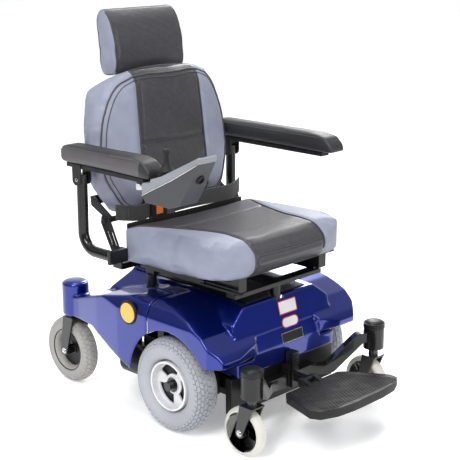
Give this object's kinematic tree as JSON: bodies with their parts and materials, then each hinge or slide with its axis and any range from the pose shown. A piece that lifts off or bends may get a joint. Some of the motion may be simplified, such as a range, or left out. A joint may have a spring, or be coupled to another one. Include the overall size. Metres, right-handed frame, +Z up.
{
  "type": "power wheelchair",
  "caption": "Mid-wheel-drive power wheelchair with a captain seat, reclining back, headrest, flip-up armrests, joystick controller, lap belt, swivel casters and folding footplate.",
  "frame": {"origin": "on the floor, at the middle of the chair's overall length and width", "axes": "+Z up, -Y is the way the chair faces, +X is the occupant's left"},
  "size_m": [0.647, 1.0162, 1.0817],
  "materials": {
    "frame_black": "satin",
    "tray_black": "matte",
    "battery_case": "matte",
    "module_case": "satin",
    "motor_black": "satin",
    "shroud_blue": "gloss",
    "deck_black": "matte",
    "reflector_amber": "gloss",
    "cap_black": "matte",
    "drive_tyre_grey": "matte",
    "drive_rim_white": "gloss",
    "caster_tyre_cream": "satin",
    "caster_rim_black": "satin",
    "fork_black": "gloss",
    "seat_upholstery": "satin",
    "back_upholstery": "satin",
    "headrest_upholstery": "satin",
    "bright_steel": "polished",
    "pad_leather": "satin",
    "case_grey": "satin",
    "case_light_grey": "satin",
    "stick_black": "matte",
    "button_red": "gloss",
    "webbing_black": "matte",
    "buckle_black": "satin",
    "button_orange": "gloss",
    "footplate_black": "matte",
    "lever_black": "matte"
  },
  "bodies": {
    "base": {"base_frame": "frame_black", "battery_tray": "tray_black", "batteries": "battery_case", "power_module": "module_case", "gear_motor_left": "motor_black", "gear_motor_right": "motor_black", "seat_posts": "frame_black", "seat_base": "frame_black", "shroud_main": "shroud_blue", "rear_pod_left": "shroud_blue", "rear_pod_right": "shroud_blue", "deck_panel": "deck_black", "side_reflectors": "reflector_amber", "caster_caps": "cap_black", "front_caster_arm_left": "fork_black", "front_caster_arm_right": "fork_black"},
    "footrest": {"footrest_post": "frame_black"},
    "footplate": {"footplate": "footplate_black"},
    "seat": {"seat_frame": "frame_black", "seat_cushion": "seat_upholstery", "recline_brackets": "frame_black", "arm_posts": "fork_black"},
    "slide_lever": {"slide_lever": "lever_black"},
    "backrest": {"back_frame": "frame_black", "back_cushion": "back_upholstery"},
    "headrest": {"headrest_rods": "bright_steel", "headrest_cushion": "headrest_upholstery"},
    "controller": {"controller_link": "bright_steel", "controller_lower": "case_grey", "controller_upper": "case_light_grey"},
    "gimbal": {"joystick_gimbal": "bright_steel"},
    "joystick": {"joystick": "stick_black"},
    "power_button": {"power_button": "button_red"},
    "belt": {"belt_straps": "webbing_black", "belt_buckle": "buckle_black", "belt_tongue": "buckle_black"},
    "buckle_button": {"buckle_button": "button_orange"},
    "arm_left": {"arm_rail_left": "frame_black", "arm_pad_left": "pad_leather"},
    "freewheel_left": {"freewheel_lever_left": "lever_black"},
    "drive_wheel_left": {"drive_rim_left": "drive_rim_white", "drive_tyre_left": "drive_tyre_grey"},
    "front_fork_left": {"front_caster_fork_left": "fork_black"},
    "front_wheel_left": {"front_caster_rim_left": "caster_rim_black", "front_caster_tyre_left": "caster_tyre_cream"},
    "rear_fork_left": {"rear_caster_fork_left": "fork_black"},
    "rear_wheel_left": {"rear_caster_rim_left": "caster_rim_black", "rear_caster_tyre_left": "caster_tyre_cream"},
    "arm_right": {"arm_rail_right": "frame_black", "arm_pad_right": "pad_leather"},
    "freewheel_right": {"freewheel_lever_right": "lever_black"},
    "drive_wheel_right": {"drive_rim_right": "drive_rim_white", "drive_tyre_right": "drive_tyre_grey"},
    "front_fork_right": {"front_caster_fork_right": "fork_black"},
    "front_wheel_right": {"front_caster_rim_right": "caster_rim_black", "front_caster_tyre_right": "caster_tyre_cream"},
    "rear_fork_right": {"rear_caster_fork_right": "fork_black"},
    "rear_wheel_right": {"rear_caster_rim_right": "caster_rim_black", "rear_caster_tyre_right": "caster_tyre_cream"}
  },
  "joints": [
    {"name": "drive_wheel_spin_left", "type": "hinge", "parent": "base", "child": "drive_wheel_left", "pos_m": [0.26, -0.0639, 0.13], "axis": [1, 0, 0], "continuous": true},
    {"name": "front_caster_swivel_left", "type": "hinge", "parent": "base", "child": "front_fork_left", "pos_m": [0.249, -0.3279, 0.19], "axis": [0, 0, 1], "continuous": true},
    {"name": "front_wheel_spin_left", "type": "hinge", "parent": "front_fork_left", "child": "front_wheel_left", "pos_m": [0.249, -0.3059, 0.066], "axis": [1, 0, 0], "continuous": true},
    {"name": "rear_caster_swivel_left", "type": "hinge", "parent": "base", "child": "rear_fork_left", "pos_m": [0.235, 0.3881, 0.25], "axis": [0, 0, 1], "continuous": true},
    {"name": "rear_wheel_spin_left", "type": "hinge", "parent": "rear_fork_left", "child": "rear_wheel_left", "pos_m": [0.235, 0.4101, 0.098], "axis": [1, 0, 0], "continuous": true},
    {"name": "freewheel_lever_turn_left", "type": "hinge", "parent": "base", "child": "freewheel_left", "pos_m": [0.175, 0.2281, 0.1], "axis": [0, 1, 0], "range_deg": [0, 45]},
    {"name": "armrest_flip_left", "type": "hinge", "parent": "seat", "child": "arm_left", "pos_m": [0.291, 0.2711, 0.64], "axis": [-1, 0, 0], "range_deg": [0, 90]},
    {"name": "drive_wheel_spin_right", "type": "hinge", "parent": "base", "child": "drive_wheel_right", "pos_m": [-0.26, -0.0639, 0.13], "axis": [1, 0, 0], "continuous": true},
    {"name": "front_caster_swivel_right", "type": "hinge", "parent": "base", "child": "front_fork_right", "pos_m": [-0.249, -0.3279, 0.19], "axis": [0, 0, 1], "continuous": true},
    {"name": "front_wheel_spin_right", "type": "hinge", "parent": "front_fork_right", "child": "front_wheel_right", "pos_m": [-0.249, -0.3059, 0.066], "axis": [1, 0, 0], "continuous": true},
    {"name": "rear_caster_swivel_right", "type": "hinge", "parent": "base", "child": "rear_fork_right", "pos_m": [-0.235, 0.3881, 0.25], "axis": [0, 0, 1], "continuous": true},
    {"name": "rear_wheel_spin_right", "type": "hinge", "parent": "rear_fork_right", "child": "rear_wheel_right", "pos_m": [-0.235, 0.4101, 0.098], "axis": [1, 0, 0], "continuous": true},
    {"name": "freewheel_lever_turn_right", "type": "hinge", "parent": "base", "child": "freewheel_right", "pos_m": [-0.175, 0.2281, 0.1], "axis": [0, -1, 0], "range_deg": [0, 45]},
    {"name": "armrest_flip_right", "type": "hinge", "parent": "seat", "child": "arm_right", "pos_m": [-0.291, 0.2711, 0.64], "axis": [-1, 0, 0], "range_deg": [0, 90]},
    {"name": "seat_slide", "type": "slide", "parent": "base", "child": "seat", "axis": [0, -1, 0], "range_m": [-0.05, 0.08]},
    {"name": "slide_lever_turn", "type": "hinge", "parent": "seat", "child": "slide_lever", "pos_m": [-0.189, -0.0959, 0.398], "axis": [0, 0, -1], "range_deg": [0, 12], "stiffness_Nm_per_rad": 0.3},
    {"name": "backrest_recline", "type": "hinge", "parent": "seat", "child": "backrest", "pos_m": [0, 0.2261, 0.523], "axis": [-1, 0, 0], "range_deg": [-35, 20]},
    {"name": "belt_fold", "type": "hinge", "parent": "seat", "child": "belt", "pos_m": [0, 0.1621, 0.522], "axis": [-1, 0, 0], "range_deg": [-40, 23]},
    {"name": "buckle_button_press", "type": "slide", "parent": "belt", "child": "buckle_button", "axis": [0, 1, 0], "range_m": [0, 0.0025], "stiffness_N_per_m": 600},
    {"name": "headrest_height", "type": "slide", "parent": "backrest", "child": "headrest", "axis": [0, 0.1184, 0.993], "range_m": [0, 0.06]},
    {"name": "controller_swing", "type": "hinge", "parent": "arm_right", "child": "controller", "pos_m": [-0.291, 0.0311, 0.66], "axis": [0, 0, -1], "range_deg": [0, 90]},
    {"name": "joystick_fore_aft", "type": "hinge", "parent": "controller", "child": "gimbal", "pos_m": [-0.291, -0.0689, 0.7], "axis": [1, 0, 0], "range_deg": [-18, 18], "stiffness_Nm_per_rad": 0.5},
    {"name": "joystick_sideways", "type": "hinge", "parent": "gimbal", "child": "joystick", "pos_m": [-0.291, -0.0689, 0.7], "axis": [0, 1, 0], "range_deg": [-18, 18], "stiffness_Nm_per_rad": 0.5},
    {"name": "power_button_press", "type": "slide", "parent": "controller", "child": "power_button", "axis": [0, -0.4415, -0.8973], "range_m": [0, 0.002], "stiffness_N_per_m": 600},
    {"name": "footrest_height", "type": "slide", "parent": "base", "child": "footrest", "axis": [0, 0, 1], "range_m": [0, 0.03]},
    {"name": "footplate_fold", "type": "hinge", "parent": "footrest", "child": "footplate", "pos_m": [0, -0.2999, 0.131], "axis": [-1, 0, 0], "range_deg": [0, 85]}
  ],
  "couplings": [
    {"joint": "belt_fold", "follows": "backrest_recline", "ratio": 1.1}
  ]
}
